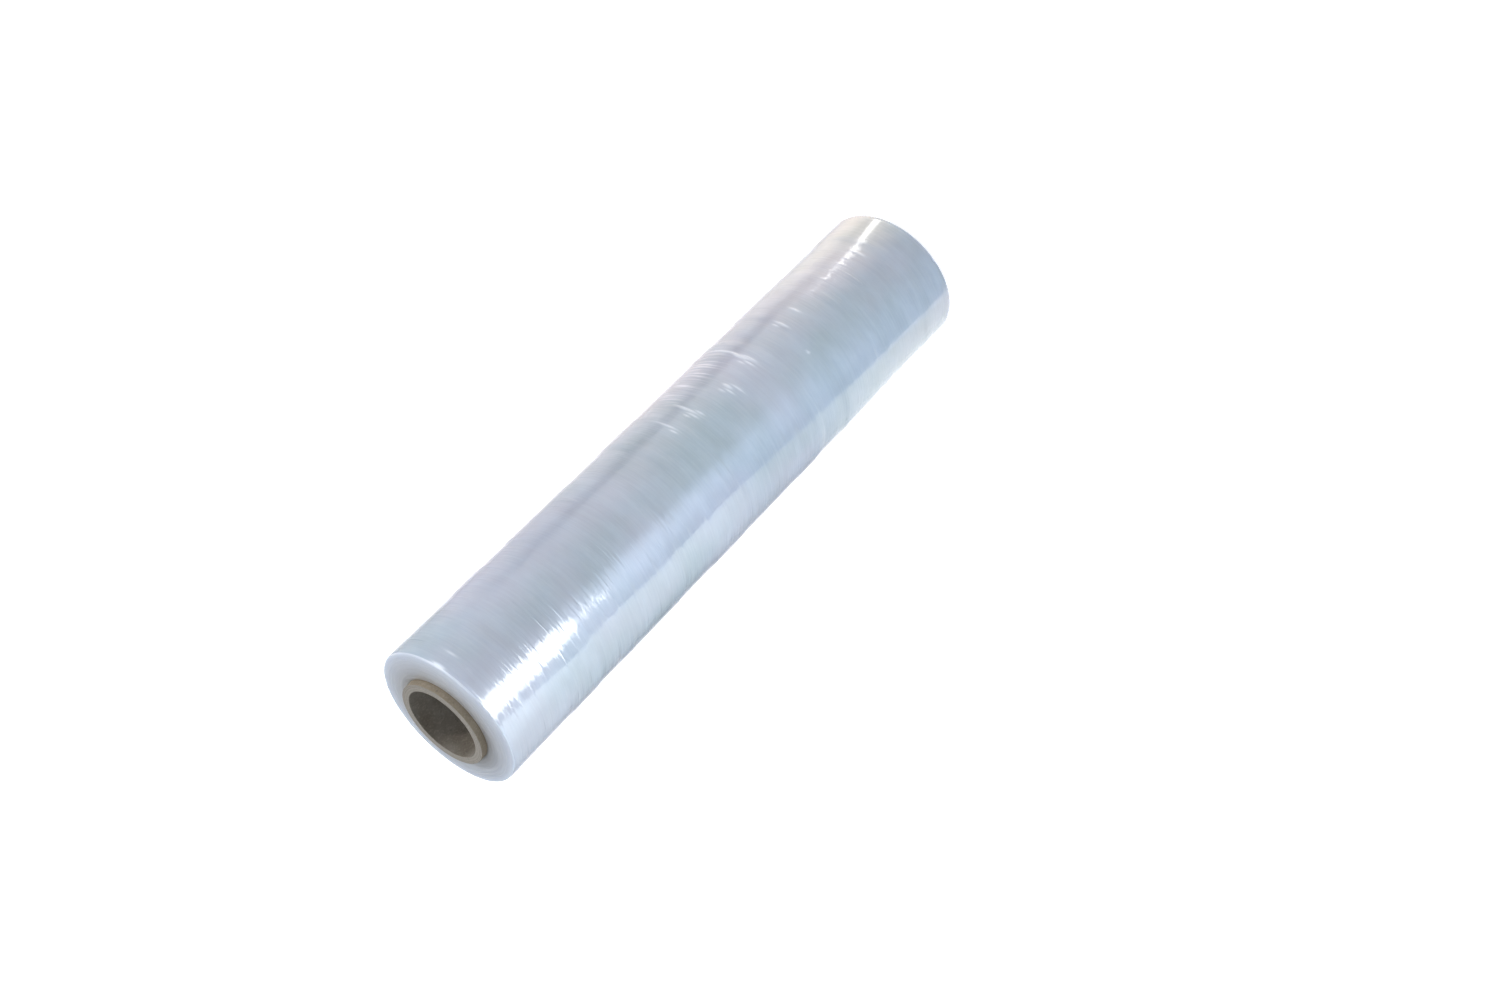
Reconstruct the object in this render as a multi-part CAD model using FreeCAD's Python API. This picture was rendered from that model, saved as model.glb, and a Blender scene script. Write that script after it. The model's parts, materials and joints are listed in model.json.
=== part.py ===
import FreeCAD, Part
import math
import os

# A roll of stretch wrap, standing on one end of its core. The core is one spirally wound paper tube,
# a little longer than the film is wide. The film is wound tightly on it, turn on turn, so its turns
# are one solid. Lengths are in millimetres. Z runs along the roll, and the origin is at the middle
# of the end that it stands on.

# Paper tube
BORE_DIAMETER = 50.0
CORE_WALL = 5.2
CORE_STAND_OUT = 5.0  # how far the tube stands out of the film at each end
MOUTH_CHAMFER = 0.4  # the cut end is pressed in a little round the bore
CORE_EDGE_CHAMFER = 0.4  # the cut end's outer edge
PLY_WIDTH = 98.0  # the innermost strip of paper, whose edges meet in a helical seam
SEAM_GAP = 0.9
SEAM_DEPTH = 0.45

# Wound film
FILM_WIDTH = 450.0
FILM_BUILD = 18.8  # depth of all the turns under the thinnest hoop, from the tube to the outside
EDGE_DEPTH = 1.0  # the outermost turns draw in at both edges, by this much across the roll
EDGE_LENGTH = 1.5  # and by this much along it
EDGE_STEPS = 3
FLAT_RIM = 2.2  # width of the level ring of turns inside that edge
SIDE_SHIFT = 0.45  # the innermost turns lie this much further along than the outermost
TURN_PACKS = 6  # groups of turns that can be told apart on an end
PACK_RELIEF = 0.3  # how far the middle of a group stands out
HOOP_COUNT = 16  # hoops along the roll, which differ because the film's gauge does
HOOP_RELIEF = 0.5  # between the thinnest hoop and the thickest
HOOP_SLOPE = 1.2  # length over which one hoop passes into the next
UNEVENNESS = 0.45  # 0 makes all the hoops, and all the groups of turns, as wide as each other
WAVE_STEP = 2.4  # radians from one hoop to the next in the wave that makes them uneven

# Loose end of the film
TAIL_THICKNESS = 0.35
TAIL_EDGE_ANGLE = 62.0  # where it ends, in degrees from +X, on the side away from the view

SEAM_OVERRUN = 5.0  # how far the seam's cutter passes both ends of the tube

bore_radius = BORE_DIAMETER / 2
core_radius = bore_radius + CORE_WALL
core_length = FILM_WIDTH + 2 * CORE_STAND_OUT
film_radius = core_radius + FILM_BUILD
film_bottom = CORE_STAND_OUT
film_top = film_bottom + FILM_WIDTH
edge_inner_radius = film_radius - EDGE_DEPTH
rim_inner_radius = edge_inner_radius - FLAT_RIM

UP = FreeCAD.Vector(0, 0, 1)
ORIGIN = FreeCAD.Vector(0, 0, 0)


def at(radius, height):
    """A point of a half section: its distance from the axis, and its height."""
    return FreeCAD.Vector(radius, 0, height)


def run(points):
    """Straight edges through the points, in order."""
    return [Part.LineSegment(a, b).toShape() for a, b in zip(points, points[1:])]


def turned(edges, sweep_degrees=360.0):
    """The solid that a closed half section sweeps round the axis."""
    section = Part.Face(Part.Wire(Part.__sortEdges__(edges)))
    return section.revolve(ORIGIN, UP, sweep_degrees)


def uneven_shares(count):
    """Where count strips of uneven width begin and end, as shares of the whole from 0 to 1."""
    widths = [1 + UNEVENNESS * math.sin(WAVE_STEP * i) for i in range(count)]
    return [sum(widths[:i]) / sum(widths) for i in range(count + 1)]


def ridges(start, end, count, relief):
    """Points from start to end where each of count ridges rises by the vector relief at its middle."""
    shares = uneven_shares(count)
    points = [start]
    for low, high in zip(shares, shares[1:]):
        points.append(start + (end - start) * (low + high) / 2 + relief)
        points.append(start + (end - start) * high)
    return points


def hoops(bottom, top):
    """The film's side between two heights: level hoops of uneven gauge, joined by short slopes."""
    shares = uneven_shares(HOOP_COUNT)
    points = []
    for i, (low, high) in enumerate(zip(shares, shares[1:])):
        radius = film_radius + HOOP_RELIEF * (1 + math.cos(WAVE_STEP * i)) / 2
        points.append(at(radius, bottom + (top - bottom) * low + HOOP_SLOPE / 2))
        points.append(at(radius, bottom + (top - bottom) * high - HOOP_SLOPE / 2))
    return points


def soft_edge(level, inwards):
    """A quarter ellipse from the end face to the side. inwards is -1 at the upper end, 1 at the lower."""
    angles = [math.radians(90.0 * i / EDGE_STEPS) for i in range(EDGE_STEPS + 1)]
    return [
        at(
            edge_inner_radius + EDGE_DEPTH * math.sin(angle),
            level + inwards * EDGE_LENGTH * (1 - math.cos(angle)),
        )
        for angle in angles
    ]


def film_outside():
    """The outside of the film from its lower end to its upper one: soft edge, hoops, soft edge."""
    lower, upper = soft_edge(film_bottom, 1), soft_edge(film_top, -1)
    return lower + hoops(lower[-1].z, upper[-1].z) + upper[::-1]


def film_end(level, outwards):
    """The groups of turns seen on one end, then the level rim. outwards is 1 at the upper end."""
    inner, outer = at(core_radius, level + SIDE_SHIFT), at(rim_inner_radius, level)
    packs = ridges(inner, outer, TURN_PACKS, FreeCAD.Vector(0, 0, outwards * PACK_RELIEF))
    return packs + [at(edge_inner_radius, level)]


def inner_turns():
    """The turns from the tube to the soft edges, which seat on the tube all round."""
    upper, lower = film_end(film_top, 1), film_end(film_bottom, -1)
    return turned(run(upper + lower[::-1] + upper[:1]))


def outer_half_turn(start_degrees, growth):
    """Half a turn round the inner turns, whose radii and centre have both moved by growth.

    The centre moves towards the tail's cut edge. The root lies inside the level rim, where it
    runs into the inner turns.
    """
    root = edge_inner_radius - FLAT_RIM / 2
    outside = [at(point.x + growth, point.z) for point in film_outside()]
    section = [at(root, film_bottom)] + outside + [at(root, film_top)]
    half = turned(run(section + section[:1]), 180.0)
    half.rotate(ORIGIN, UP, start_degrees)
    edge = math.radians(TAIL_EDGE_ANGLE)
    half.translate(FreeCAD.Vector(math.cos(edge), math.sin(edge), 0) * growth)
    return half


def film_winding():
    """The wound film, whose outermost turn is a spiral drawn from two centres.

    The first half turn runs from under the cut edge to the far side, round the tube's axis. The
    second carries on from there, with its centre and radius moved by half the tail's thickness, so
    it meets the first smoothly and comes round to stand one thickness proud at the cut edge.
    """
    first_half = outer_half_turn(TAIL_EDGE_ANGLE, 0.0)
    second_half = outer_half_turn(TAIL_EDGE_ANGLE + 180.0, TAIL_THICKNESS / 2)
    return inner_turns().fuse([first_half, second_half]).removeSplitter()


def plain_tube():
    """The tube, with its mouths pressed in round the bore and its outer edges eased."""
    mouth, shoulder = bore_radius + MOUTH_CHAMFER, core_radius - CORE_EDGE_CHAMFER
    lower = [
        at(bore_radius, MOUTH_CHAMFER),
        at(mouth, 0),
        at(shoulder, 0),
        at(core_radius, CORE_EDGE_CHAMFER),
    ]
    upper = [at(point.x, core_length - point.z) for point in reversed(lower)]
    return turned(run(lower + upper + lower[:1]))


def seam_cutter():
    """A rectangular bar along the helix where the innermost strip's edges meet.

    A strip that covers the bore once has sin(lead angle) = its width over the bore's circumference,
    and climbs by the circumference times tan(lead angle) in each turn.
    """
    circumference = math.pi * BORE_DIAMETER
    lead = math.asin(PLY_WIDTH / circumference)
    pitch = circumference * math.tan(lead)
    helix = Part.makeHelix(pitch, core_length + 2 * SEAM_OVERRUN, bore_radius)
    half_height = SEAM_GAP / math.cos(lead) / 2
    inner, outer = bore_radius - SEAM_DEPTH, bore_radius + SEAM_DEPTH
    corners = [
        at(inner, -half_height),
        at(outer, -half_height),
        at(outer, half_height),
        at(inner, half_height),
        at(inner, -half_height),
    ]
    bar = Part.Wire(helix).makePipeShell([Part.makePolygon(corners)], True, True)
    bar.translate(FreeCAD.Vector(0, 0, -SEAM_OVERRUN))
    return bar


def paper_core():
    return plain_tube().cut(seam_cutter())


def main():
    os.makedirs("parts", exist_ok=True)
    parts = {"paper_core": paper_core(), "film_winding": film_winding()}
    for name, shape in parts.items():
        solids = shape.Solids
        print(name, "solids", len(solids), "valid", shape.isValid(), "volume", round(shape.Volume, 1))
        solids[0].exportStep("parts/" + name + ".step")


main()
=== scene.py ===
import json
import math

import bpy
import numpy as np
from mathutils import Matrix, Vector


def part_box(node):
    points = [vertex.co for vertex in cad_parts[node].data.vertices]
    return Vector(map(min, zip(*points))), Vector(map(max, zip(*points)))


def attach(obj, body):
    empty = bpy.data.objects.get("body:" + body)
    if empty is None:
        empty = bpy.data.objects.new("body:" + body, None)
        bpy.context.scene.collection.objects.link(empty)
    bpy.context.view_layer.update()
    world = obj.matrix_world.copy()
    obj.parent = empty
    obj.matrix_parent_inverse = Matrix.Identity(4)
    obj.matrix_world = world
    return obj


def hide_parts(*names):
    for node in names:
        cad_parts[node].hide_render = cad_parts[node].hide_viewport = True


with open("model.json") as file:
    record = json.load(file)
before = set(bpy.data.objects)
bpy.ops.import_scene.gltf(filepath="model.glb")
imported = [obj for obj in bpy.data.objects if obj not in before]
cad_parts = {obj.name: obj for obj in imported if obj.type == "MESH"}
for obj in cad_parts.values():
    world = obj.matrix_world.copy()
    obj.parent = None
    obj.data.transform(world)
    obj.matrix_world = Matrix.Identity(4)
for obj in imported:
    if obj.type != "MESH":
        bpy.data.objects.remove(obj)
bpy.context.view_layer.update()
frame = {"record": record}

# A roll of stretch wrap on its paper core, standing on a pale floor. Lengths are in metres. Angles
# round the roll are counted from the front, where -Y is 0 and +X is 90 degrees.

MM = 0.001

# Sizes that the frame gives
core_low, core_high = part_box("paper_core")
bore = next(m for m in frame["record"]["mounts"] if m["name"] == "core_bore")
BORE_RADIUS = bore["dims"]["r_mm"] * MM
CORE_RADIUS = core_high.x
CORE_LENGTH = core_high.z

# Sizes of the winding, as the part has them
CORE_STAND_OUT = 5.0 * MM
FILM_BUILD = 18.8 * MM
EDGE_DEPTH = 1.0 * MM
EDGE_LENGTH = 1.5 * MM
FLAT_RIM = 2.2 * MM
SIDE_SHIFT = 0.45 * MM
TURN_PACKS = 6
PACK_RELIEF = 0.3 * MM
HOOP_COUNT = 16
HOOP_RELIEF = 0.5 * MM
UNEVENNESS = 0.45
WAVE_STEP = 2.4
TAIL_THICKNESS = 0.35 * MM
TAIL_ANGLE = 152.0

FILM_RADIUS = CORE_RADIUS + FILM_BUILD
FILM_BOTTOM = CORE_STAND_OUT
FILM_TOP = CORE_LENGTH - CORE_STAND_OUT
EDGE_INNER = FILM_RADIUS - EDGE_DEPTH
RIM_INNER = EDGE_INNER - FLAT_RIM

# Sizes of the tube
MOUTH_CHAMFER = 0.4 * MM
CORE_EDGE_ROUND = 0.4 * MM
PLY_WIDTH = 98.0 * MM
SEAM_GAP = 0.9 * MM
SEAM_DEPTH = 0.45 * MM

RANDOM_SEED = 7


def smoothstep(share):
    """0 below 0, 1 above 1, and an even S between them."""
    t = np.clip(share, 0.0, 1.0)
    return t * t * (3.0 - 2.0 * t)


def bump(offset, width):
    """A bell of height 1 that has fallen to about a third at one width from its middle."""
    return np.exp(-((offset / width) ** 2))


def angle_from(angles, centre):
    """Degrees from centre to each angle, the short way round."""
    return (angles - centre + 180.0) % 360.0 - 180.0


def uneven_shares(count):
    """Where count strips of uneven width begin and end, as shares of the whole from 0 to 1."""
    widths = 1.0 + UNEVENNESS * np.sin(WAVE_STEP * np.arange(count))
    return np.concatenate([[0.0], np.cumsum(widths)]) / widths.sum()


def ring_mesh(name, points, attributes=None):
    """A closed skin over a grid of points, rows by columns, that runs round in both directions.

    Row i, column j is joined to the next row and the next column, and the last ones to the first.
    """
    rows, columns = points.shape[:2]
    index = np.arange(rows * columns).reshape(rows, columns)
    below, beside = np.roll(index, -1, axis=0), np.roll(index, -1, axis=1)
    corner = np.roll(below, -1, axis=1)
    quads = np.stack([index, beside, corner, below], axis=-1).reshape(-1, 4)
    mesh = bpy.data.meshes.new(name)
    mesh.vertices.add(rows * columns)
    mesh.vertices.foreach_set("co", points.reshape(-1))
    mesh.loops.add(quads.size)
    mesh.loops.foreach_set("vertex_index", quads.reshape(-1))
    mesh.polygons.add(len(quads))
    mesh.polygons.foreach_set("loop_start", np.arange(0, quads.size, 4))
    mesh.update(calc_edges=True)
    mesh.polygons.foreach_set("use_smooth", np.ones(len(quads), dtype=bool))
    for key, values in (attributes or {}).items():
        layer = mesh.attributes.new(key, "FLOAT", "POINT")
        layer.data.foreach_set("value", np.ascontiguousarray(values, dtype=np.float32).reshape(-1))
    mesh.validate()
    made = bpy.data.objects.new(name, mesh)
    bpy.context.scene.collection.objects.link(made)
    return made


def on_roll(radius, angle, height):
    """Points at those radii, angles from the front in degrees, and heights."""
    turn = np.radians(angle)
    radius, turn, height = np.broadcast_arrays(radius, turn, height)
    return np.stack([radius * np.sin(turn), -radius * np.cos(turn), height], axis=-1)


# Wound film

COLUMNS = 196
SIDE_ROWS = 384
END_ROWS = 42
HOOP_BLEND = 7.0 * MM  # length over which one hoop passes into the next
CUT_WIDTH = 0.12  # degrees that the step of the cut edge takes up
EDGE_ROWS = 10  # rows round each soft edge
FIRST_TURN = 0.002  # the first row beside the tube, as a share of the end's width
END_CROWDING = 1.3  # above 1, an end's rows lie closer together near the side

# Fine ridges: their wave lengths, and their rise as a share of their length
RIDGE_LENGTHS = np.geomspace(3.0, 17.0, 15) * MM
RIDGE_SLOPE = 0.0006

# Patch of slanting streaks: its middle, its reach from there, their slant and their rise
STREAK_ANGLE = 60.0
STREAK_ANGLE_REACH = 13.0
STREAK_HEIGHT = 190 * MM
STREAK_HEIGHT_REACH = 24 * MM
STREAK_SLANT = 0.10
STREAK_RISE = 0.012 * MM

# Ripples of the loose tail: their wave lengths and rise, and how many degrees before the cut they reach
RIPPLE_LENGTHS = (11.0 * MM, 17.0 * MM, 31.0 * MM, 52.0 * MM)
RIPPLE_RISE = 0.05 * MM
RIPPLE_REACH = 7.0
SWAY_REACH = 6.0  # degrees from the cut edge over which it wanders from a straight line
# The cut edge's paleness is a painted glint in the film's colour
CUT_GLINT_REACH = 1.2  # degrees before the cut edge that look paler
# The folds' paleness in the film's colour is a painted highlight, at its fullest at this rise
FULL_FOLD = 0.16 * MM  # a fold that rises this far is as pale as any

# Small folds in the outermost turn: angle, height, length in degrees, width and rise. The last one is
# a shallow dent at the far edge.
FOLDS = [
    (48.0, 161.6 * MM, 40.0, 0.8 * MM, 0.26 * MM),
    (38.5, 162.6 * MM, 9.0, 0.8 * MM, 0.42 * MM),
    (31.5, 160.4 * MM, 11.0, 0.6 * MM, 0.3 * MM),
    (28.5, 164.2 * MM, 8.0, 0.6 * MM, 0.3 * MM),
    (34.0, 166.4 * MM, 6.0, 0.6 * MM, 0.2 * MM),
    (27.7, 187.6 * MM, 6.0, 0.9 * MM, 0.46 * MM),
    (21.0, 184.9 * MM, 10.0, 0.6 * MM, 0.26 * MM),
    (23.5, 190.2 * MM, 7.0, 0.6 * MM, 0.24 * MM),
    (28.5, 192.6 * MM, 5.0, 0.6 * MM, 0.2 * MM),
    (39.0, 217.3 * MM, 18.0, 0.8 * MM, 0.32 * MM),
    (31.0, 219.6 * MM, 8.0, 0.6 * MM, 0.32 * MM),
    (28.0, 215.4 * MM, 7.0, 0.6 * MM, 0.26 * MM),
    (34.0, 222.0 * MM, 5.0, 0.6 * MM, 0.2 * MM),
    (40.0, 235.2 * MM, 18.0, 0.7 * MM, 0.22 * MM),
    (32.0, 237.4 * MM, 6.0, 0.6 * MM, 0.24 * MM),
    (33.0, 124.4 * MM, 10.0, 0.8 * MM, 0.34 * MM),
    (36.5, 127.2 * MM, 5.0, 0.6 * MM, 0.22 * MM),
    (34.0, 109.2 * MM, 9.0, 0.8 * MM, 0.26 * MM),
    (3.0, 130.4 * MM, 2.6, 0.8 * MM, 0.34 * MM),
    (-11.0, 359.0 * MM, 5.0, 1.6 * MM, 0.14 * MM),
    (-17.0, 355.6 * MM, 6.0, 0.5 * MM, 0.06 * MM),
    (-19.0, 352.6 * MM, 8.0, 0.5 * MM, 0.07 * MM),
    (-17.5, 349.4 * MM, 7.0, 0.5 * MM, 0.07 * MM),
    (31.5, 42.3 * MM, 11.0, 0.9 * MM, 0.30 * MM),
    (36.0, 50.5 * MM, 3.0, 0.6 * MM, 0.20 * MM),
    (36.4, 57.5 * MM, 5.0, 0.6 * MM, 0.22 * MM),
    (37.6, 65.7 * MM, 2.5, 0.6 * MM, 0.16 * MM),
    (37.0, 75.0 * MM, 4.0, 0.6 * MM, 0.20 * MM),
    (35.3, 88.5 * MM, 3.0, 0.6 * MM, 0.12 * MM),
    (30.0, 443.0 * MM, 9.0, 0.7 * MM, 0.16 * MM),
    (30.0, 453.1 * MM, 8.0, 0.7 * MM, 0.42 * MM),
    (-15.5, 6.4 * MM, 4.4, 2.0 * MM, -0.9 * MM),
]


def hoop_gauge(height):
    """How much thicker than the thinnest hoop the film is at each height.

    It is a staircase of uneven steps, each softened into an S.
    """
    side_length = FILM_TOP - FILM_BOTTOM - 2 * EDGE_LENGTH
    edges = FILM_BOTTOM + EDGE_LENGTH + uneven_shares(HOOP_COUNT) * side_length
    levels = HOOP_RELIEF * (1.0 + np.cos(WAVE_STEP * np.arange(HOOP_COUNT))) / 2
    gauge = levels[0] * smoothstep((height - edges[0]) / EDGE_LENGTH)
    for edge, rise in zip(edges[1:-1], np.diff(levels)):
        gauge = gauge + rise * smoothstep((height - edge) / HOOP_BLEND + 0.5)
    return gauge - levels[-1] * smoothstep((height - edges[-1]) / EDGE_LENGTH + 1.0)


def fine_hoops(angle, height, rng):
    """Fine ridges round the roll: a sum of sine waves along it, which swell and fade round it."""
    total = np.zeros(np.broadcast(angle, height).shape)
    turn = np.radians(angle)
    for length in RIDGE_LENGTHS:
        phase, swell, drift = rng.uniform(0, 2 * math.pi, 3)
        strength = 0.65 + 0.35 * np.sin(turn * rng.integers(1, 4) + swell)
        wander = 0.6 * np.sin(turn + drift)
        total += strength * length * np.sin(2 * math.pi * height / length + phase + wander)
    return total * RIDGE_SLOPE


def folds(angle, height):
    """The small folds, each a ridge along a hoop that tapers to nothing at both ends."""
    total = np.zeros(np.broadcast(angle, height).shape)
    for centre, level, length, width, rise in FOLDS:
        total += rise * bump(angle_from(angle, centre), length / 2) * bump(height - level, width)
    return total


def streak_patch(angle, height):
    """Where the slanting streaks are: 1 in the middle of their patch, 0 away from it."""
    round_it = bump(angle_from(angle, STREAK_ANGLE), STREAK_ANGLE_REACH)
    return round_it * bump(height - STREAK_HEIGHT, STREAK_HEIGHT_REACH)


def side_streaks(angle, height):
    """Slanting tension streaks in the last turns, in one patch beside the folds."""
    slant = 2 * math.pi * (height + np.radians(angle) * FILM_RADIUS * STREAK_SLANT)
    waves = np.sin(slant / (3.1 * MM)) + 0.7 * np.sin(slant / (5.3 * MM) + 1.0)
    return streak_patch(angle, height) * waves * STREAK_RISE


def tail_growth(angle):
    """How far the outermost turn has climbed, from 0 half a turn before the cut edge to its thickness."""
    return TAIL_THICKNESS / 2 * (1.0 + np.cos(np.radians(angle - TAIL_ANGLE)))


def loose_tail(angle, height, rng):
    """Ripples of the last few millimetres before the cut edge, which cling less than the rest."""
    before = TAIL_ANGLE + 360.0 - angle
    waves = np.zeros(np.broadcast(angle, height).shape)
    for length in RIPPLE_LENGTHS:
        waves += np.sin(2 * math.pi * height / length + rng.uniform(0, 2 * math.pi))
    return RIPPLE_RISE * waves * np.exp(-before / RIPPLE_REACH)


def side_heights():
    """Rows up the side, closer together where there are folds and near both edges."""
    fine = np.linspace(FILM_BOTTOM + EDGE_LENGTH, FILM_TOP - EDGE_LENGTH, 6000)
    density = 1.0 + 1.2 * bump(fine - fine[0], 4 * MM) + 1.2 * bump(fine - fine[-1], 4 * MM)
    for _, level, _, width, _ in FOLDS:
        density = density + 2.2 * bump(fine - level, 1.6 * width)
    total = np.cumsum(density)
    share = (total - total[0]) / (total[-1] - total[0])
    return np.interp(np.linspace(0, 1, SIDE_ROWS), share, fine)


def film_profile():
    """The film's half section, as rows of radius, height, outward direction and three weights.

    It starts at the tube on the lower end and goes out, up the side and in again on the upper end.
    The weights say how much of the side's relief, and of the last turn's climb, a row takes, and
    how deep into the end face it lies, from 0 at the side to 1 at the tube.
    """
    spread = np.insert(1 - (1 - np.linspace(0, 1, END_ROWS)) ** END_CROWDING, 1, FIRST_TURN)
    end_radius = CORE_RADIUS + (EDGE_INNER - CORE_RADIUS) * spread
    packs = uneven_shares(TURN_PACKS)
    inside = np.clip((end_radius - CORE_RADIUS) / (RIM_INNER - CORE_RADIUS), 0, 1)
    strip = np.clip(np.searchsorted(packs, inside, side="right") - 1, 0, TURN_PACKS - 1)
    within = (inside - packs[strip]) / (packs[strip + 1] - packs[strip])
    relief = PACK_RELIEF * np.sin(math.pi * within) * (inside < 1)
    shift = SIDE_SHIFT * (1 - inside)
    quarter = np.radians(np.linspace(0, 90, EDGE_ROWS + 2))[1:-1]
    edge_radius = EDGE_INNER + EDGE_DEPTH * np.sin(quarter)
    edge_drop = EDGE_LENGTH * (1 - np.cos(quarter))
    side = side_heights()
    side_radius = np.full_like(side, FILM_RADIUS)
    radius = np.concatenate([end_radius, edge_radius, side_radius, edge_radius[::-1], end_radius[::-1]])
    height = np.concatenate([
        FILM_BOTTOM + shift - relief,
        FILM_BOTTOM + edge_drop,
        side,
        (FILM_TOP - edge_drop)[::-1],
        (FILM_TOP + shift + relief)[::-1],
    ])
    flat, sine, cosine = np.ones_like(end_radius), np.sin(quarter), np.cos(quarter)
    out = np.concatenate([0 * flat, sine, np.ones_like(side), sine[::-1], 0 * flat])
    up = np.concatenate([-flat, -cosine, 0 * side, cosine[::-1], flat])
    depth = np.clip((EDGE_INNER - radius) / (EDGE_INNER - CORE_RADIUS), 0, 1)
    climb = smoothstep((radius - EDGE_INNER + FLAT_RIM / 2) / FLAT_RIM)
    return radius, height, out, up, depth, climb


def closed_on_tube(points):
    """The points with one more row on the tube's wall, 3/4 of the way up, where the skin closes."""
    low, high = points[:1].copy(), points[-1:].copy()
    return np.concatenate([points, high * [1, 1, 0.75] + low * [0, 0, 0.25]])


def last_row_again(values):
    return np.concatenate([values, values[-1:]])


def wound_film():
    """The film: its half section turned round the roll, with relief laid on along the outward direction.

    Radius = section + climb of the last turn + relief, where the relief is the sum of the hoops,
    the fine ridges, the folds, the streaks and the loose tail's ripples.
    """
    rng = np.random.default_rng(RANDOM_SEED)
    radius, height, out, up, depth, climb = (v[:, None] for v in film_profile())
    angle = TAIL_ANGLE + CUT_WIDTH + np.linspace(0, 360 - CUT_WIDTH, COLUMNS)[None, :]
    sway = 0.35 * np.sin(height / (37 * MM)) + 0.2 * np.sin(height / (13 * MM) + 1.0)
    before, after = TAIL_ANGLE + 360 - angle, angle - TAIL_ANGLE
    angle = angle + sway * (np.exp(-before / SWAY_REACH) + np.exp(-after / SWAY_REACH)) * out
    second_half = angle > TAIL_ANGLE + 180
    growth = np.where(second_half, tail_growth(angle), 0.0) * climb
    relief = hoop_gauge(height) + fine_hoops(angle, height, rng) + side_streaks(angle, height)
    relief = relief + folds(angle, height) + loose_tail(angle, height, rng)
    relief = relief * out
    points = closed_on_tube(on_roll(radius + growth + relief * out, angle, height + up * relief))
    maps = {
        "end": np.broadcast_to(smoothstep(np.abs(up) / 0.6), angle.shape),
        "end_depth": np.broadcast_to(depth, angle.shape),
        # Mask of the folds, which carries the painted highlight on them
        "fold": np.clip(folds(angle, height) / FULL_FOLD, 0, 1) * out,
        # Mask of the streak patch, which carries painted reflection and painted shade lines in the colour
        "streak": streak_patch(angle, height) * out,
        # Mask for the painted glint just before the cut edge
        "painted_cut_glint": np.exp(-(TAIL_ANGLE + 360 - angle) / CUT_GLINT_REACH) * out,
    }
    return ring_mesh("film_turns", points, {key: last_row_again(v) for key, v in maps.items()})


# Paper tube

TUBE_COLUMNS = 180
BORE_ROWS = 210
BORE_CROWDING = 0.12
WALL_ROWS = 170
WALL_CROWDING = 0.03
CUT_ROWS = 16

# Lap of the outermost ply: where it lies after the seam in degrees, its depth and its half width
LAP_ANGLE = 200.0
LAP_DEPTH = 0.12 * MM
LAP_WIDTH = 1.2
SEAM_ANGLE = 90.0  # where the seam lies at its starting height
SEAM_START = -5 * MM
FIBRE_RISE = 0.012 * MM  # of the rough cut end


def crowded_shares(count, crowding):
    """Shares from 0 to 1 that lie closer together near both ends: even ones less a sine wave."""
    even = np.linspace(0, 1, count)
    return even - crowding * np.sin(2 * math.pi * even)


def tube_profile():
    """The radius and height of each row of the tube's half section, which is closed.

    It goes up the outside, in over the upper cut end, down the bore and out over the lower one.
    """
    ease = np.radians(np.linspace(0, 90, 5))[1:]
    chamfer = np.radians(np.linspace(0, 90, 6))[1:]
    shoulder = CORE_RADIUS - CORE_EDGE_ROUND
    mouth = BORE_RADIUS + MOUTH_CHAMFER
    across = np.linspace(shoulder, mouth, CUT_ROWS)[1:]
    end_radius = np.concatenate([
        shoulder + CORE_EDGE_ROUND * np.cos(ease),
        across,
        mouth - MOUTH_CHAMFER * np.sin(chamfer),
    ])
    end_inset = np.concatenate([
        CORE_EDGE_ROUND * (1 - np.sin(ease)),
        np.zeros(len(across)),
        MOUTH_CHAMFER * (1 - np.cos(chamfer)),
    ])
    wall_share = crowded_shares(WALL_ROWS, WALL_CROWDING)
    wall_height = CORE_EDGE_ROUND + wall_share * (CORE_LENGTH - 2 * CORE_EDGE_ROUND)
    bore_share = crowded_shares(BORE_ROWS, BORE_CROWDING)[1:-1]
    bore_height = MOUTH_CHAMFER + bore_share * (CORE_LENGTH - 2 * MOUTH_CHAMFER)
    wall_radius = np.full(len(wall_height), CORE_RADIUS)
    bore_radius = np.full(len(bore_height), BORE_RADIUS)
    radius = np.concatenate([wall_radius, end_radius, bore_radius, end_radius[::-1]])
    height = np.concatenate([wall_height, CORE_LENGTH - end_inset, bore_height[::-1], end_inset[::-1]])
    return radius, height


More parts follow.
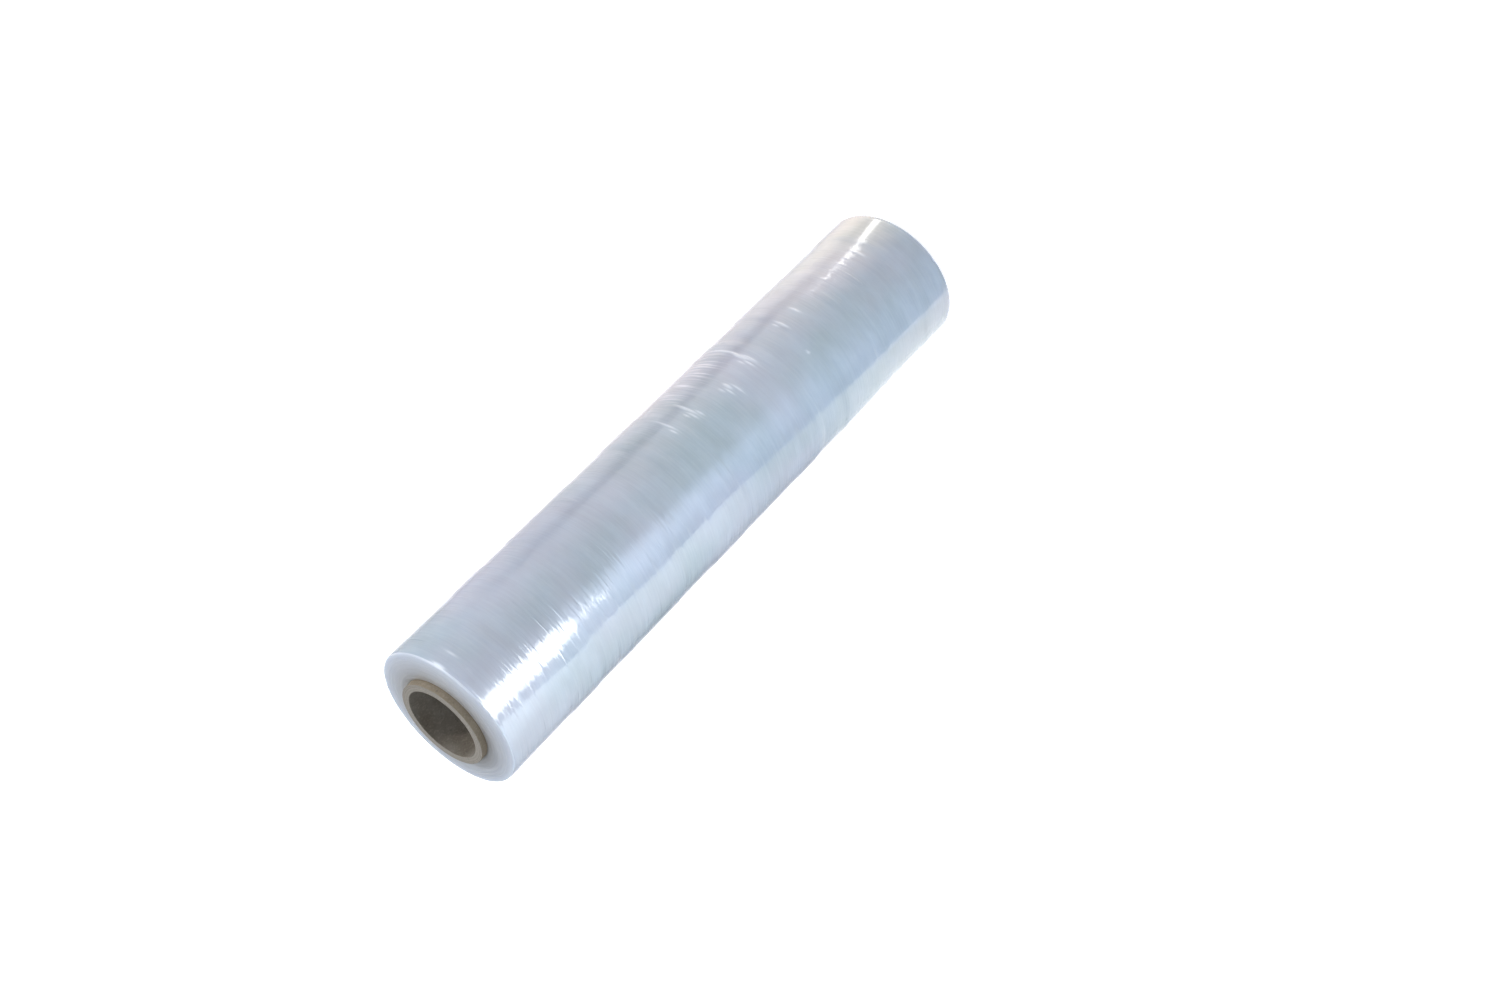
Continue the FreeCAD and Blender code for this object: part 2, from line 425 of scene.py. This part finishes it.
def paper_tube():
    """The tube: its half section turned round, on columns that follow the plies' helix.

    The angle of a column is its own share of a turn plus height over pitch, so the helical seam in
    the bore, and the shallower one outside, each run along one column.
    """
    rng = np.random.default_rng(RANDOM_SEED + 1)
    radius, height = (v[:, None] for v in tube_profile())
    circumference = 2 * math.pi * BORE_RADIUS
    pitch = circumference * math.tan(math.asin(PLY_WIDTH / circumference))
    even = np.linspace(0, 360, TUBE_COLUMNS, endpoint=False)[None, :]
    gather = 6.0 * np.sin(np.radians(even)) + 3.0 * np.sin(np.radians(2 * even))
    own = even - gather
    angle = own + SEAM_ANGLE + 360.0 * (height - SEAM_START) / pitch
    gap = np.degrees(SEAM_GAP / BORE_RADIUS) / 2
    in_bore = radius < BORE_RADIUS + MOUTH_CHAMFER / 2
    groove = SEAM_DEPTH * bump(angle_from(own, 0.0), gap) * in_bore
    outside = radius > CORE_RADIUS - CORE_EDGE_ROUND
    lap_line = bump(angle_from(own, LAP_ANGLE), LAP_WIDTH) * outside
    on_cut = np.abs(radius - (BORE_RADIUS + CORE_RADIUS) / 2) < (CORE_RADIUS - BORE_RADIUS) * 0.42
    turn = np.radians(angle)
    shape = np.broadcast(angle, height).shape
    rough = np.zeros(shape)
    for waves in range(3, 15):
        rough += np.sin(turn * waves + rng.uniform(0, 2 * math.pi)) * rng.uniform(0.2, 1.0)
    cut_rise = FIBRE_RISE * np.abs(rough) * on_cut * (height > CORE_LENGTH / 2)
    points = on_roll(radius + groove - LAP_DEPTH * lap_line, angle, height - cut_rise)
    off_bore = smoothstep((radius - BORE_RADIUS) / (0.5 * MOUTH_CHAMFER))
    off_wall = smoothstep((CORE_RADIUS - radius) / (0.5 * CORE_EDGE_ROUND))
    seam_line = bump(angle_from(own, 0.0), gap * 1.1) * in_bore
    maps = {
        "cut_end": off_bore * off_wall,
        "seam": np.clip(seam_line + 0.6 * lap_line, 0, 1),
        "bore": 1.0 - smoothstep((radius - BORE_RADIUS) / MOUTH_CHAMFER),
    }
    return ring_mesh("core_tube", points, {key: np.broadcast_to(v, shape) for key, v in maps.items()})


# Shader building blocks


class Wiring:
    """Short ways to add and join nodes in one node tree."""

    def __init__(self, tree):
        self.tree = tree

    def node(self, kind, inputs=None, **settings):
        made = self.tree.nodes.new(kind)
        for key, value in settings.items():
            setattr(made, key, value)
        for key, value in (inputs or {}).items():
            self.feed(made.inputs[key], value)
        return made

    def feed(self, socket, value):
        if isinstance(value, bpy.types.NodeSocket):
            self.tree.links.new(value, socket)
        else:
            socket.default_value = value

    def math(self, operation, first, second=0.0, clamp=False):
        made = self.node("ShaderNodeMath", {0: first, 1: second}, operation=operation, use_clamp=clamp)
        return made.outputs[0]

    def mix(self, share, first, second):
        made = self.node("ShaderNodeMix", {"Factor": share}, data_type="RGBA")
        for key, value in (("A", first), ("B", second)):
            socket = next(s for s in made.inputs if s.name == key and s.type == "RGBA")
            self.feed(socket, (*value, 1.0) if isinstance(value, tuple) else value)
        return next(s for s in made.outputs if s.type == "RGBA")

    def vector(self, operation, inputs, result="Vector"):
        return self.node("ShaderNodeVectorMath", inputs, operation=operation).outputs[result]

    def combine(self, x, y, z):
        return self.node("ShaderNodeCombineXYZ", {"X": x, "Y": y, "Z": z}).outputs[0]

    def noise(self, inputs, **settings):
        return self.node("ShaderNodeTexNoise", inputs, **settings).outputs[0]

    def spread(self, value, low, high, start=0.0, end=1.0):
        """value taken from the range low to high onto start to end, with an even S between."""
        made = self.node(
            "ShaderNodeMapRange",
            {"Value": value, "From Min": low, "From Max": high, "To Min": start, "To Max": end},
            interpolation_type="SMOOTHSTEP",
        )
        return made.outputs[0]

    def attribute(self, name):
        return self.node("ShaderNodeAttribute", attribute_name=name).outputs["Fac"]

    def group(self, tree, **values):
        made = self.node("ShaderNodeGroup", node_tree=tree)
        for key, value in values.items():
            self.feed(made.inputs[key.replace("_", " ").capitalize()], value)
        return made.outputs


def new_group(name, inputs, outputs):
    tree = bpy.data.node_groups.new(name, "ShaderNodeTree")
    for key, value in inputs.items():
        socket = tree.interface.new_socket(key, in_out="INPUT", socket_type="NodeSocketFloat")
        socket.default_value = value
    for key in outputs:
        tree.interface.new_socket(key, in_out="OUTPUT", socket_type="NodeSocketFloat")
    wiring = Wiring(tree)
    given, taken = wiring.node("NodeGroupInput"), wiring.node("NodeGroupOutput")
    return tree, wiring, given.outputs, taken.inputs


def stretched_noise_group():
    """Noise drawn out round the roll: Around and Along are how many times it changes in a metre.

    Tilt leans its lines, which rise by that share of the way across the roll.
    """
    inputs = {"Around": 10.0, "Along": 500.0, "Tilt": 0.0, "Offset": 0.0, "Detail": 2.0}
    tree, w, given, taken = new_group("stretched noise", inputs, ["Value"])
    place = w.node("ShaderNodeTexCoord").outputs["Object"]
    parts = w.node("ShaderNodeSeparateXYZ", {0: place}).outputs
    leaning = w.math("ADD", parts["Z"], w.math("MULTIPLY", parts["X"], given["Tilt"]))
    leant = w.combine(parts["X"], parts["Y"], leaning)
    scale = w.combine(given["Around"], given["Around"], given["Along"])
    shift = w.combine(given["Offset"], given["Offset"], given["Offset"])
    moved = w.vector("ADD", {0: w.vector("MULTIPLY", {0: leant, 1: scale}), 1: shift})
    w.feed(taken["Value"], w.noise({"Vector": moved, "Scale": 1.0, "Detail": given["Detail"]}))
    return tree


def ring_lines_group():
    """Fine rings about the axis on an end face: noise that changes with the distance from it.

    Waver is how many rings a slow wobble moves them.
    """
    tree, w, given, taken = new_group("ring lines", {"Spacing": 0.0004, "Waver": 0.2, "Detail": 2.0}, ["Value"])
    place = w.node("ShaderNodeTexCoord").outputs["Object"]
    flat = w.vector("MULTIPLY", {0: place, 1: (1.0, 1.0, 0.0)})
    reach = w.vector("LENGTH", {0: flat}, "Value")
    wobble = w.noise({"Vector": flat, "Scale": 30.0, "Detail": 1.0})
    rings = w.math("DIVIDE", reach, given["Spacing"])
    rings = w.math("ADD", rings, w.math("MULTIPLY", wobble, given["Waver"]))
    lines = w.noise({"W": rings, "Scale": 1.0, "Detail": given["Detail"]}, noise_dimensions="1D")
    w.feed(taken["Value"], lines)
    return tree


def uneven_turns_group():
    """A normal that a few of the lines turn sideways, round the roll, as single hoops of film lie.

    The sideways direction is the axis crossed with the normal. Its share is the cube of how far the
    lines' value lies from its middle, so most hoops keep their normal. Limit is the largest share.
    """
    tree, w, given, taken = new_group("uneven turns", {"Lines": 0.5, "Strength": 0.6, "Limit": 0.25}, [])
    tree.interface.new_socket("Normal", in_out="INPUT", socket_type="NodeSocketVector")
    tree.interface.new_socket("Normal", in_out="OUTPUT", socket_type="NodeSocketVector")
    off = w.math("MULTIPLY", w.math("SUBTRACT", given["Lines"], 0.5), 2.0)
    share = w.math("MULTIPLY", w.math("MULTIPLY", off, off), w.math("MULTIPLY", off, given["Strength"]))
    share = w.math("MAXIMUM", share, w.math("MULTIPLY", given["Limit"], -1.0))
    share = w.math("MINIMUM", share, given["Limit"])
    round_it = w.vector("CROSS_PRODUCT", {0: (0.0, 0.0, 1.0), 1: given["Normal"]})
    push = w.vector("SCALE", {0: round_it, "Scale": share})
    turned = w.vector("ADD", {0: given["Normal"], 1: push})
    w.feed(taken["Normal"], w.vector("NORMALIZE", {0: turned}))
    return tree


# Colours of the film's side and ends, of the paper, and of the floor
FILM_GREEN_GREY = (0.332, 0.388, 0.422)
FILM_LILAC_GREY = (0.408, 0.416, 0.477)
FILM_CLOUD = (0.465, 0.52, 0.62)
FILM_BAND = (0.50, 0.57, 0.65)
FILM_LINE = (0.52, 0.57, 0.63)
FILM_DARK_LINE = (0.26, 0.33, 0.42)
# Painted reflection and painted shade: the pale and dark lines laid in the colour of the streak patch
STREAK_PAINTED_SHEEN = (0.80, 0.80, 0.84)
STREAK_PAINTED_SHADE = (0.24, 0.25, 0.29)
# Painted highlight on the folds
FOLD_PAINTED_HIGHLIGHT = (0.85, 0.88, 0.92)
# Painted glint before the cut edge
CUT_PAINTED_GLINT = (0.8, 0.84, 0.9)
END_RINGS = ((0.44, 0.472, 0.53), (0.483, 0.51, 0.567))
# Painted shade: the film's end faces darken towards the tube
END_PAINTED_SHADE_AT_TUBE = (0.27, 0.26, 0.25)
PAPER_WALL = ((0.20, 0.165, 0.12), (0.26, 0.22, 0.165))
# The bore's paper is greyer than the outside. It is also darker, which is painted shade inside the tube
PAPER_BORE_SHADED = ((0.145, 0.124, 0.098), (0.215, 0.194, 0.166))
PAPER_CUT = ((0.17, 0.153, 0.13), (0.255, 0.236, 0.21))
FIBRE_PALE = (0.46, 0.42, 0.36)
FIBRE_DARK = (0.10, 0.08, 0.06)
SPECK = (0.06, 0.05, 0.04)
SEAM_DARK = (0.04, 0.032, 0.025)
FLOOR_TINTS = ((0.90, 0.90, 0.905), (0.92, 0.92, 0.92))


def new_material(name, **sockets):
    """A material with one Principled shader, whose uniform values are set on its own sockets."""
    material = bpy.data.materials.new(name)
    material.use_nodes = True
    shader = material.node_tree.nodes["Principled BSDF"]
    for key, value in sockets.items():
        shader.inputs[key.replace("_", " ")].default_value = value
    return material, Wiring(material.node_tree), shader.inputs


def film_material(stretched, rings, uneven):
    material, w, shader = new_material(
        "stretch film",
        IOR=2.1,
        Coat_Weight=0.15,
        Coat_IOR=1.7,
        Coat_Roughness=0.05,
        Subsurface_Weight=0.75,
        Subsurface_Radius=(0.9, 1.0, 1.15),
        Subsurface_Scale=0.006,
    )
    fine = w.group(stretched, around=34.0, along=820.0, tilt=0.05, detail=3.0)["Value"]
    crossing = w.group(stretched, around=45.0, along=760.0, tilt=-0.06, offset=5.3, detail=2.0)["Value"]
    turns = w.group(stretched, around=30.0, along=1500.0, tilt=0.02, offset=6.1, detail=1.0)["Value"]
    broad = w.group(stretched, around=9.0, along=130.0, offset=3.1, detail=3.0)["Value"]
    clouds = w.group(stretched, around=34.0, along=60.0, offset=7.7, detail=4.0)["Value"]
    patches = w.group(stretched, around=14.0, along=12.0, offset=1.7, detail=2.0)["Value"]
    streaks = w.group(stretched, around=22.0, along=620.0, tilt=-0.10, offset=4.1, detail=2.0)["Value"]
    end_rings = w.group(rings, spacing=0.0005, waver=0.5, detail=3.0)["Value"]
    on_end = w.attribute("end")
    side = w.mix(w.spread(patches, 0.35, 0.65), FILM_GREEN_GREY, FILM_LILAC_GREY)
    side = w.mix(w.spread(clouds, 0.35, 0.7, 0.0, 0.3), side, FILM_CLOUD)
    side = w.mix(w.spread(broad, 0.35, 0.75, 0.0, 0.07), side, FILM_BAND)
    side = w.mix(w.spread(fine, 0.35, 0.7, 0.0, 0.10), side, FILM_LINE)
    side = w.mix(w.spread(crossing, 0.35, 0.7, 0.0, 0.07), side, FILM_DARK_LINE)
    # The streaks' relief is real geometry; their pale lines are a painted reflection and their dark lines painted
    # shade
    in_patch = w.attribute("streak")
    painted_sheen_streaks = w.math("MULTIPLY", in_patch, w.spread(streaks, 0.5, 0.66, 0.0, 0.7))
    painted_shade_streaks = w.math("MULTIPLY", in_patch, w.spread(streaks, 0.45, 0.3, 0.0, 0.25))
    side = w.mix(painted_sheen_streaks, side, STREAK_PAINTED_SHEEN)
    side = w.mix(painted_shade_streaks, side, STREAK_PAINTED_SHADE)
    # Painted highlight: the film turns paler on the folds
    side = w.mix(w.math("MULTIPLY", w.attribute("fold"), 0.4), side, FOLD_PAINTED_HIGHLIGHT)
    # Painted glint: the film turns paler just before the cut edge
    side = w.mix(w.math("MULTIPLY", w.attribute("painted_cut_glint"), 0.45), side, CUT_PAINTED_GLINT)
    end = w.mix(w.spread(end_rings, 0.3, 0.7), *END_RINGS)
    # Painted shade: the end face darkens towards the tube that stands out beside it
    end = w.mix(w.attribute("end_depth"), end, END_PAINTED_SHADE_AT_TUBE)
    w.feed(shader["Base Color"], w.mix(on_end, side, end))
    gloss = w.spread(fine, 0.3, 0.75, 0.06, 0.24)
    w.feed(shader["Roughness"], w.math("ADD", gloss, w.math("MULTIPLY", on_end, 0.3)))
    ridges = w.math("ADD", fine, w.math("MULTIPLY", broad, 0.8))
    heights = {"Factor": on_end, "A": ridges, "B": end_rings}
    height = w.node("ShaderNodeMix", heights, data_type="FLOAT").outputs[0]
    relief = w.node("ShaderNodeBump", {"Strength": 1.0, "Distance": 0.08 * MM, "Height": height})
    w.feed(shader["Normal"], w.group(uneven, normal=relief.outputs[0], lines=turns, strength=1.8)["Normal"])
    return material


def paper_material(stretched, rings):
    material, w, shader = new_material("core board", IOR=1.45, Specular_IOR_Level=0.2)
    fibres = w.group(stretched, around=900.0, along=700.0, detail=5.0)["Value"]
    patches = w.group(stretched, around=60.0, along=50.0, offset=2.0, detail=3.0)["Value"]
    specks = w.group(stretched, around=420.0, along=420.0, offset=9.0, detail=0.0)["Value"]
    plies = w.group(rings, spacing=0.0004, waver=1.2, detail=2.0)["Value"]
    wall = w.mix(w.spread(patches, 0.3, 0.7), *PAPER_WALL)
    # Painted shade: the bore's colour is darker than the outside wall's
    shaded_bore_wall = w.mix(w.spread(patches, 0.3, 0.7), *PAPER_BORE_SHADED)
    cut = w.mix(w.spread(plies, 0.3, 0.7), *PAPER_CUT)
    colour = w.mix(w.attribute("bore"), wall, shaded_bore_wall)
    colour = w.mix(w.attribute("cut_end"), colour, cut)
    colour = w.mix(w.spread(fibres, 0.45, 0.8, 0.0, 0.25), colour, FIBRE_PALE)
    colour = w.mix(w.spread(fibres, 0.42, 0.2, 0.0, 0.25), colour, FIBRE_DARK)
    colour = w.mix(w.spread(specks, 0.74, 0.84, 0.0, 0.3), colour, SPECK)
    colour = w.mix(w.math("MULTIPLY", w.attribute("seam"), 0.85), colour, SEAM_DARK)
    w.feed(shader["Base Color"], colour)
    w.feed(shader["Roughness"], w.spread(fibres, 0.2, 0.8, 0.7, 0.95))
    ply_relief = w.math("MULTIPLY", w.math("MULTIPLY", plies, w.attribute("cut_end")), 1.5)
    height = w.math("ADD", fibres, ply_relief)
    relief = w.node("ShaderNodeBump", {"Strength": 0.6, "Distance": 0.12 * MM, "Height": height})
    w.feed(shader["Normal"], relief.outputs[0])
    return material


def floor_material():
    material, w, shader = new_material(
        "pale floor",
        Roughness=0.6,
        Specular_IOR_Level=0.2,
        Emission_Color=(1.0, 1.0, 1.0, 1.0),
        Emission_Strength=0.58,
    )
    place = w.node("ShaderNodeTexCoord").outputs["Object"]
    noise = w.noise({"Vector": place, "Scale": 3.0, "Detail": 2.0})
    w.feed(shader["Base Color"], w.mix(noise, *FLOOR_TINTS))
    return material


# Studio

TENT_RADIUS = 0.15  # how far from the roll's axis most cards stand
FAR_RADIUS = 1.0
FLOOR_SIZE = 60.0
CARD_STEPS = 25
ROOM_COLOUR = (0.28, 0.32, 0.37, 1.0)

# Where the bright table ends and the blue room begins: heights and angles
TABLE_EDGE = [
    (-0.20, -76.0), (-0.02, -74.0), (0.041, -66.5), (0.094, -62.0), (0.143, -57.0), (0.19, -52.5),
    (0.254, -55.0), (0.30, -51.0), (0.34, -55.0), (0.41, -47.0), (0.48, -45.0),
]

# Cards that only mirror rays see: a radius, then stations from foot to head, each a height with the
# angles of the first and last side there, then the colour, the strength, and the share of the card
# that fades in at its first side, last side, foot and head.
CARDS = {
    "window strip": (
        TENT_RADIUS,
        (
            (0.318, -28, -20), (0.333, -33, -17), (0.346, -37, -9),
            (0.366, -39, -11.5), (0.41, -39, -10), (0.48, -40, -9),
        ),
        (0.97, 0.99, 1.0), 9.0, (0.2, 0.22, 0.05, 0.0),
    ),
    "window patch": (
        TENT_RADIUS, ((0.298, -31, -20), (0.313, -32, -19)),
        (0.97, 0.99, 1.0), 6.0, (0.4, 0.4, 0.4, 0.4),
    ),
    "window glow": (
        TENT_RADIUS, ((0.10, -36, -8), (0.34, -42, -6)),
        (0.75, 0.86, 1.15), 0.9, (0.4, 0.4, 0.35, 0.3),
    ),
    "window halo": (
        TENT_RADIUS, ((0.19, -50, -8), (0.34, -64, 2), (0.40, -84, 10), (0.48, -88, 30)),
        (0.80, 0.95, 1.1), 1.7, (0.35, 0.3, 0.5, 0.0),
    ),
    "blue room": (
        TENT_RADIUS, [(height, edge - 3, 0) for height, edge in TABLE_EDGE], (0.38, 0.58, 1.0), 1.42,
        (0.04, 0.6, 0.35, 0.3),
    ),
    "white table": (
        TENT_RADIUS, [(height, -100 - 110 * height, edge) for height, edge in TABLE_EDGE[4:]],
        (0.85, 1.0, 1.09), 2.85, (0.98, 0.015, 0.32, 0.0),
    ),
    "table foot": (
        TENT_RADIUS, [(height, -140, edge) for height, edge in TABLE_EDGE[1:7]], (0.82, 1.0, 1.15), 1.5,
        (0.9, 0.02, 0.25, 0.3),
    ),
    "front wall": (
        TENT_RADIUS, ((-0.05, -56, 73), (0.35, -50, 73)),
        (0.68, 0.94, 1.0), 0.5, (0.1, 0.05, 0.35, 0.34),
    ),
    "side wall": (
        TENT_RADIUS, ((-0.1, 83, 150), (0.35, 83, 150)),
        (0.68, 0.94, 1.0), 0.42, (0.1, 0.4, 0.2, 0.3),
    ),
    "white floor": (
        TENT_RADIUS, ((-0.2, -178, -75), (0.075, -178, -68)), (1.0, 1.0, 0.98), 1.6, (0.3, 0.02, 0.0, 0.3)
    ),
    "pale wall": (
        TENT_RADIUS, ((-0.16, 22, 74), (0.48, 22, 74)),
        (1.0, 0.75, 0.65), 0.4, (0.7, 0.12, 0.0, 0.4),
    ),
    "lilac wall": (
        TENT_RADIUS, ((-0.16, 80, 179), (0.48, 80, 179)),
        (1.0, 0.77, 0.76), 0.66, (0.2, 0.2, 0.0, 0.33),
    ),
    "rose wall": (
        TENT_RADIUS, ((-0.05, 30, 150), (0.26, 30, 150)),
        (1.0, 0.45, 0.30), 0.5, (0.3, 0.2, 0.3, 0.4),
    ),
    "warm floor": (
        TENT_RADIUS, ((-0.2, 20, 140), (0.08, 20, 140)),
        (1.0, 0.75, 0.48), 2.85, (0.41, 0.3, 0.0, 0.68),
    ),
    "lamp": (
        TENT_RADIUS,
        (
            (-0.10, 61, 80), (-0.078, 62, 76), (-0.063, 61, 71), (-0.05, 58, 68), (-0.044, 51, 67),
            (-0.036, 52, 66.5), (-0.03, 57.5, 64), (-0.02, 59, 63.5), (0.02, 59.5, 62),
        ),
        (1.0, 0.99, 0.97), 6.5, (0.3, 0.3, 0.0, 0.6),
    ),
    "back strip": (
        TENT_RADIUS, ((-0.1, 168, 190), (0.475, 164, 186)),
        (1.0, 1.0, 1.0), 3.0, (0.3, 0.3, 0.1, 0.1),
    ),
    "skylight": (
        FAR_RADIUS, ((0.4, -130, 130), (1.0, -130, 130)),
        (1.0, 1.0, 1.0), 0.4, (0.1, 0.1, 0.2, 0.1),
    ),
    "high window": (
        FAR_RADIUS, ((0.4, 36, 84), (0.95, 36, 84)),
        (1.0, 1.0, 1.0), 3.6, (0.4, 0.4, 0.2, 0.2),
    ),
    "rim glint": (
        FAR_RADIUS, ((1.0, 50, 80), (1.9, 50, 80)),
        (1.0, 1.0, 1.0), 8.0, (0.3, 0.3, 0.2, 0.2),
    ),
    "far wall": (
        FAR_RADIUS, ((-1.2, 150, 210), (0.4, 150, 210)),
        (1.0, 0.98, 0.98), 0.9, (0.15, 0.15, 0.0, 0.1),
    ),
}


def card_edges_group():
    """How bright a card is at a place of its UV map, for the shares that fade at its four edges."""
    inputs = {"First": 0.1, "Last": 0.1, "Foot": 0.1, "Head": 0.1}
    tree, w, given, taken = new_group("card edges", inputs, ["Value"])
    place = w.node("ShaderNodeSeparateXYZ", {0: w.node("ShaderNodeUVMap", uv_map="card").outputs[0]}).outputs
    bright = 1.0
    for axis, low, high in (("X", "First", "Last"), ("Y", "Foot", "Head")):
        for distance, share in ((place[axis], low), (w.math("SUBTRACT", 1.0, place[axis]), high)):
            fade = w.math("DIVIDE", distance, w.math("MAXIMUM", given[share], 0.001), clamp=True)
            bright = w.math("MULTIPLY", bright, w.math("SMOOTH_MIN", fade, 1.0))
    w.feed(taken["Value"], bright)
    return tree


def card(name, radius, stations, colour, strength, fades, edges):
    """A curved card that glows: its height runs evenly up, and its angle evenly across at each height."""
    steps = np.linspace(0, 1, CARD_STEPS)
    across, along = np.meshgrid(steps, steps)
    heights, firsts, lasts = np.array(stations).T
    height = heights[0] + (heights[-1] - heights[0]) * along
    first, last = np.interp(height, heights, firsts), np.interp(height, heights, lasts)
    points = on_roll(radius, first + (last - first) * across, height)
    rows, columns = across.shape
    index = np.arange(rows * columns).reshape(rows, columns)
    quads = np.stack([index[:-1, :-1], index[:-1, 1:], index[1:, 1:], index[1:, :-1]], axis=-1).reshape(-1, 4)
    mesh = bpy.data.meshes.new(name)
    mesh.from_pydata(points.reshape(-1, 3).tolist(), [], quads.tolist())
    places = np.stack([across.reshape(-1)[quads.reshape(-1)], along.reshape(-1)[quads.reshape(-1)]], axis=-1)
    mesh.uv_layers.new(name="card").data.foreach_set("uv", places.reshape(-1))
    material = bpy.data.materials.new(name)
    material.use_nodes = True
    material.cycles.emission_sampling = "NONE"
    material.node_tree.nodes.clear()
    w = Wiring(material.node_tree)
    shade = dict(zip(("first", "last", "foot", "head"), fades))
    glow = w.math("MULTIPLY", w.group(edges, **shade)["Value"], strength)
    light = w.node("ShaderNodeEmission", {"Color": (*colour, 1.0), "Strength": glow})
    clear = w.node("ShaderNodeBsdfTransparent")
    both = w.node("ShaderNodeAddShader", {0: light.outputs[0], 1: clear.outputs[0]})
    output = w.node("ShaderNodeOutputMaterial", {"Surface": both.outputs[0]})
    output.is_active_output = True
    mesh.materials.append(material)
    made = bpy.data.objects.new(name.replace(" ", "_"), mesh)
    bpy.context.scene.collection.objects.link(made)
    for kind in ("camera", "diffuse", "transmission", "volume_scatter", "shadow"):
        setattr(made, "visible_" + kind, False)


def face(lamp, aim):
    """Turn a lamp so that it shines at aim."""
    lamp.rotation_euler = (Vector(aim) - lamp.location).to_track_quat("-Z", "Y").to_euler()


def soft_light(name, place, aim, size, power, colour=(1.0, 1.0, 1.0), mirrored=False):
    """A square lamp that faces aim, and is mirrored in the film only where asked."""
    lamp = bpy.data.lights.new(name, "AREA")
    lamp.size, lamp.energy, lamp.color = size, power, colour
    made = bpy.data.objects.new(name, lamp)
    made.location = place
    face(made, aim)
    made.visible_camera = False
    made.visible_glossy = mirrored
    bpy.context.scene.collection.objects.link(made)


def studio():
    """A pale floor, soft lamps, and the cards that the film mirrors."""
    half = FLOOR_SIZE / 2
    mesh = bpy.data.meshes.new("floor")
    mesh.from_pydata([(-half, -half, 0), (half, -half, 0), (half, half, 0), (-half, half, 0)], [], [(0, 1, 2, 3)])
    mesh.materials.append(floor_material())
    floor = bpy.data.objects.new("floor", mesh)
    bpy.context.scene.collection.objects.link(floor)
    floor.visible_glossy = False
    sky = bpy.data.lights.new("soft_sky", "SUN")
    sky.energy, sky.angle = 1.9, math.radians(120)
    overhead = bpy.data.objects.new("soft_sky", sky)
    overhead.visible_glossy = overhead.visible_camera = False
    bpy.context.scene.collection.objects.link(overhead)
    soft_light("from_left", (-1.8, -1.2, 1.0), (0, 0, 0.2), 1.6, 7.0, (0.88, 0.96, 1.0))
    soft_light("from_right", (1.8, -0.9, 1.0), (0, 0, 0.2), 1.6, 5.0, (1.0, 0.94, 0.90))
    soft_light("from_behind", (0.2, 2.0, 1.0), (0, 0, 0.2), 1.6, 6.0)
    soft_light("key", (0.55, -0.20, 1.65), (0, 0, 0.45), 0.3, 2.0, mirrored=True)
    spot = bpy.data.lights.new("end_lamp", "SPOT")
    spot.energy, spot.shadow_soft_size = 175.0, 0.1
    spot.spot_size, spot.spot_blend = math.radians(5.2), 1.0
    end_lamp = bpy.data.objects.new("end_lamp", spot)
    end_lamp.location = (1.15, 0.0, 1.10)
    face(end_lamp, (0, 0, 0.47))
    end_lamp.visible_glossy = end_lamp.visible_camera = False
    bpy.context.scene.collection.objects.link(end_lamp)
    edges = card_edges_group()
    for name, values in CARDS.items():
        card(name, *values, edges)
    world = bpy.data.worlds.new("room")
    world.use_nodes = True
    world.node_tree.nodes["Background"].inputs["Color"].default_value = ROOM_COLOUR
    world.node_tree.nodes["Background"].inputs["Strength"].default_value = 1.0
    bpy.context.scene.world = world
    bpy.context.scene.view_settings.view_transform = "Standard"


# Camera, which looks down on the roll and is rolled over, so that the roll lies slanting in its view

CAMERA_DISTANCE = 1.4247
CAMERA_ELEVATION = 30.42
CAMERA_ROLL = 224.916
CAMERA_TURN = 1.491
CAMERA_NOD = 0.760
CAMERA_LENS = 54.72


def turn_about(axis, degrees):
    return Matrix.Rotation(math.radians(degrees), 3, axis)


def add_camera():
    """The camera aims near the roll's middle. Its axes are right, down and forward, turned in that frame."""
    lift = math.radians(CAMERA_ELEVATION)
    place = Vector((0, -CAMERA_DISTANCE * math.cos(lift), CORE_LENGTH / 2 + CAMERA_DISTANCE * math.sin(lift)))
    level = Matrix(((1, 0, 0), (0, -math.sin(lift), -math.cos(lift)), (0, math.cos(lift), -math.sin(lift))))
    aimed = turn_about("Z", CAMERA_ROLL) @ turn_about("X", CAMERA_NOD) @ turn_about("Y", CAMERA_TURN) @ level
    right, down, forward = aimed
    facing = Matrix((right, -down, -forward)).transposed().to_4x4()
    lens = bpy.data.cameras.new("camera")
    lens.lens = CAMERA_LENS
    lens.clip_start, lens.clip_end = 0.01, 50.0
    camera = bpy.data.objects.new("camera", lens)
    camera.matrix_world = Matrix.Translation(place) @ facing
    bpy.context.scene.collection.objects.link(camera)
    bpy.context.scene.camera = camera


def main():
    stretched, rings = stretched_noise_group(), ring_lines_group()
    film, tube = wound_film(), paper_tube()
    film.data.materials.append(film_material(stretched, rings, uneven_turns_group()))
    tube.data.materials.append(paper_material(stretched, rings))
    for piece, node, slot in ((film, "film_winding", "wrap_film"), (tube, "paper_core", "core_paper")):
        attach(piece, "root")
        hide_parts(node)
    studio()
    add_camera()


main()
